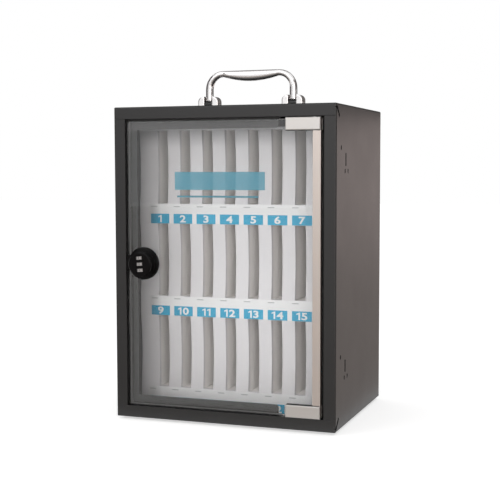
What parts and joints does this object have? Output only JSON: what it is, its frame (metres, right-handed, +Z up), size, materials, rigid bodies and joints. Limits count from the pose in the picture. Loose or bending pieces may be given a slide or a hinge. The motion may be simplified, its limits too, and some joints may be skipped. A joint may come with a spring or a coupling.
{
  "type": "phone lock box",
  "caption": "Upright steel phone locker with a hinged glass door, racks of numbered phone slots, a combination knob lock and a folding carrying handle.",
  "frame": {"origin": "on the floor under the middle of the whole part's box", "axes": "+X to the right seen from the front, +Y to the back, +Z up; the glass door faces -Y"},
  "size_m": [0.28, 0.2359, 0.432],
  "materials": {
    "case_paint": "charcoal satin powder coat",
    "rack_white": "white moulded polystyrene",
    "card_white": "white printed card",
    "number_blue": "blue print",
    "nylon_black": "black nylon",
    "black_rubber": "black rubber",
    "handle_chrome": "chrome plate",
    "pane_glass": "clear toughened glass",
    "hinge_steel": "satin steel",
    "screw_steel": "zinc plated steel",
    "lock_black": "black lacquered zinc casting",
    "dial_grey": "pale grey number wheel"
  },
  "bodies": {
    "case": {"case_shell": "case_paint", "back_panel": "case_paint", "back_rivets": "screw_steel", "tray_top": "rack_white", "tray_middle": "rack_white", "tray_bottom": "rack_white", "rack_cover": "rack_white", "label_strip_top": "card_white", "label_strip_middle": "card_white", "label_strip_bottom": "card_white", "number_tabs_top": "number_blue", "number_tabs_middle": "number_blue", "number_tabs_bottom": "number_blue", "pivot_bush_top": "nylon_black", "pivot_bush_bottom": "nylon_black", "handle_base_left": "handle_chrome", "handle_base_right": "handle_chrome", "handle_pins": "screw_steel", "handle_screws": "screw_steel", "feet": "black_rubber"},
    "door": {"glass_pane": "pane_glass", "hinge_clamp_top": "hinge_steel", "hinge_clamp_bottom": "hinge_steel", "clamp_liners": "black_rubber", "pressure_plates": "screw_steel", "clamp_screws": "screw_steel", "pivot_pins": "screw_steel", "edge_strip": "hinge_steel", "lock_housing": "lock_black", "lock_washer": "lock_black", "lock_nut": "lock_black"},
    "knob": {"lock_knob": "lock_black", "dial_shaft": "screw_steel", "lock_cam": "lock_black", "cam_screw": "lock_black"},
    "wheel_top": {"dial_top": "dial_grey"},
    "wheel_middle": {"dial_middle": "dial_grey"},
    "wheel_bottom": {"dial_bottom": "dial_grey"},
    "handle": {"handle_bail": "handle_chrome", "handle_knuckles": "nylon_black"}
  },
  "joints": [
    {"name": "door_swing", "type": "hinge", "parent": "case", "child": "door", "pos_m": [0.113, -0.0984, 0.194], "axis": [0, 0, 1], "range_deg": [0, 110]},
    {"name": "lock_turn", "type": "hinge", "parent": "door", "child": "knob", "pos_m": [-0.1009, -0.1029, 0.194], "axis": [0, 1, 0], "range_deg": [0, 95]},
    {"name": "wheel_top_spin", "type": "hinge", "parent": "knob", "child": "wheel_top", "pos_m": [-0.10154, -0.1119, 0.20137], "axis": [-0.0872, 0, 0.9962], "continuous": true},
    {"name": "wheel_middle_spin", "type": "hinge", "parent": "knob", "child": "wheel_middle", "pos_m": [-0.1009, -0.1119, 0.194], "axis": [-0.0872, 0, 0.9962], "continuous": true},
    {"name": "wheel_bottom_spin", "type": "hinge", "parent": "knob", "child": "wheel_bottom", "pos_m": [-0.10025, -0.1119, 0.18663], "axis": [-0.0872, 0, 0.9962], "continuous": true},
    {"name": "handle_fold", "type": "hinge", "parent": "case", "child": "handle", "pos_m": [0, 0.0021, 0.3903], "axis": [1, 0, 0], "range_deg": [-90, 90]}
  ]
}
